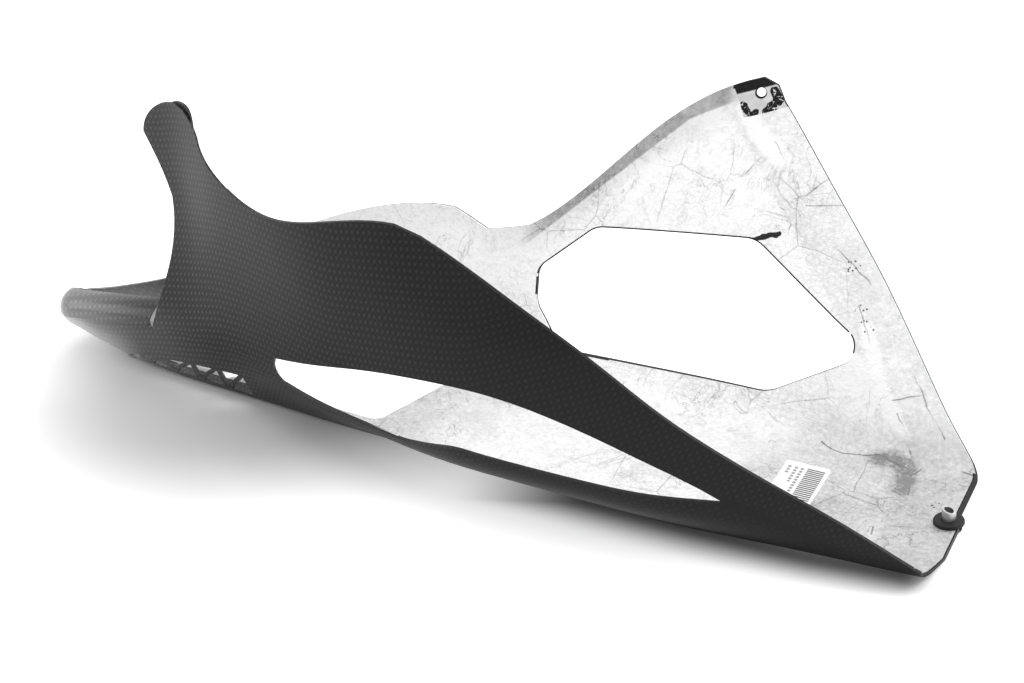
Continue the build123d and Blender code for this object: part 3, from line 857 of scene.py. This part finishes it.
# %% [markdown]
# ## Floor and its shade
# The pan was photographed on an overexposed white table. More light would bleach the pan too, so the table
# glows by itself, and only to the rays that see it: those of the camera, a mirror or glass. Round the rear,
# beside the keel and under the vents the table doesn't glow and its colour is darker: a painted shadow of
# the pan.

# %% Floor and its shade
FLOOR_REACH, FLOOR_DROP = 30.0, 0.0002
# Painted shadow of the pan: a pool round the rear, a strip beside the keel and marks under the vents.
SHADOW_MIDDLE, SHADOW_SIZE = (-0.255, -0.058), (0.121, 0.116)
SHADOW_FROM, SHADOW_TO = 0.46, 1.53
KEEL_SHADE = ((-113, -73, 0), (-25, -71, 0), (51, -72, 0), (119, -71, 0), (168, -66, 0))
VENT_SHADES = (
    ((-335, -35, 0), (-304, -37, 0)), ((-291, -38, 0), (-276, -37.5, 0)), ((-261, -38, 0), (-250, -38, 0)),
)
FLOOR_GLOW = grey(0.5)


def seen_directly(tree):
    """1 for rays from the camera, a mirror or glass, and 0 for the rays that only light the pan."""
    path = add_node(tree, "ShaderNodeLightPath")
    names = ("Is Camera Ray", "Is Glossy Ray", "Is Transmission Ray")
    camera_ray, glossy, through = (Field(tree, path.outputs[name]) for name in names)
    return camera_ray.most(glossy).most(through)


def white_table():
    paint = Paint("studio_floor", Roughness=0.9, Specular_IOR_Level=0.0, Emission_Strength=1.0)
    x, y, _ = paint.place().split()
    from_shadow = paint.vector((x - SHADOW_MIDDLE[0]) / SHADOW_SIZE[0], (y - SHADOW_MIDDLE[1]) / SHADOW_SIZE[1])
    under_opening = y.rise(-0.05, -0.03) * x.rise(-0.278, -0.262)
    outside_shadow = from_shadow.length().rise(SHADOW_FROM, SHADOW_TO).most(under_opening)
    unshaded = stroke(paint.place(), KEEL_SHADE).rise(0.0, 0.03).most(x.rise(-0.01, -0.09))
    for shade in VENT_SHADES:
        unshaded = unshaded.least(stroke(paint.place(), shade).rise(0.003, 0.007))
    mottle = paint.noise(paint.place(), 3.0) * 0.02
    # Painted shadow: the table's colour is darker in the pool, and darker still beside the keel and under
    # the vents.
    table_colour = paint.mix(outside_shadow - mottle, grey(0.68), grey(0.95))
    paint.wire("Base Color", paint.mix(unshaded, grey(0.4), table_colour))
    glow = outside_shadow * unshaded * seen_directly(paint.tree)
    paint.wire("Emission Color", paint.mix(glow, grey(0.0), FLOOR_GLOW))
    return paint.material


floor_z = cad_box[0].z - FLOOR_DROP
corners = [(side_x * FLOOR_REACH, side_y * FLOOR_REACH, floor_z) for side_x, side_y in (
    (-1, -1), (1, -1), (1, 1), (-1, 1),
)]
floor = bpy.data.objects.new("studio_floor", bpy.data.meshes.new("studio_floor"))
floor.data.from_pydata(corners, [], [(0, 1, 2, 3)])
floor.data.materials.append(white_table())
bpy.context.scene.collection.objects.link(floor)
print("floor at z =", round(floor_z, 5), "m")

# %% [markdown]
# ## Room and lights
# The room is white to the rays that see it and dimmer to those that light the pan, so that a colour comes
# out about as it is written. A broad soft light hangs overhead, a smaller one stands behind on the right,
# and a weak one on the left in front lifts the near side.

# %% Room and lights
ROOM_LIGHT, ROOM_WHITE = 0.64, 1.0
LIGHTS = (
    ("overhead", (-0.1, 0.3, 1.8), 2.4, 17.0),
    ("behind_right", (1.1, 1.1, 1.2), 1.1, 12.0),
    ("front_left", (-1.3, -1.1, 0.9), 1.1, 7.0),
)
LIT_PLACE = Vector((-0.1, 0, 0))

world = bpy.data.worlds.new("room")
bpy.context.scene.world = world
world.use_nodes = True
room = world.node_tree.nodes["Background"]
room.inputs["Color"].default_value = grey(1.0)
brightness = seen_directly(world.node_tree) * (ROOM_WHITE - ROOM_LIGHT) + ROOM_LIGHT
put(world.node_tree, room.inputs["Strength"], brightness)


def soft_light(name, place, size, power):
    """Square light of a given size that looks at the pan."""
    light = bpy.data.objects.new(name, bpy.data.lights.new(name, "AREA"))
    light.data.size = size
    light.data.energy = power
    light.location = place
    light.rotation_mode = "QUATERNION"
    light.rotation_quaternion = (LIT_PLACE - Vector(place)).to_track_quat("-Z", "Y")
    bpy.context.scene.collection.objects.link(light)


for name, place, size, power in LIGHTS:
    soft_light(name, place, size, power)
print("lights", [name for name, _, _, _ in LIGHTS])

# %% [markdown]
# ## Finish
# The dressed pan has to keep the size of the solids.
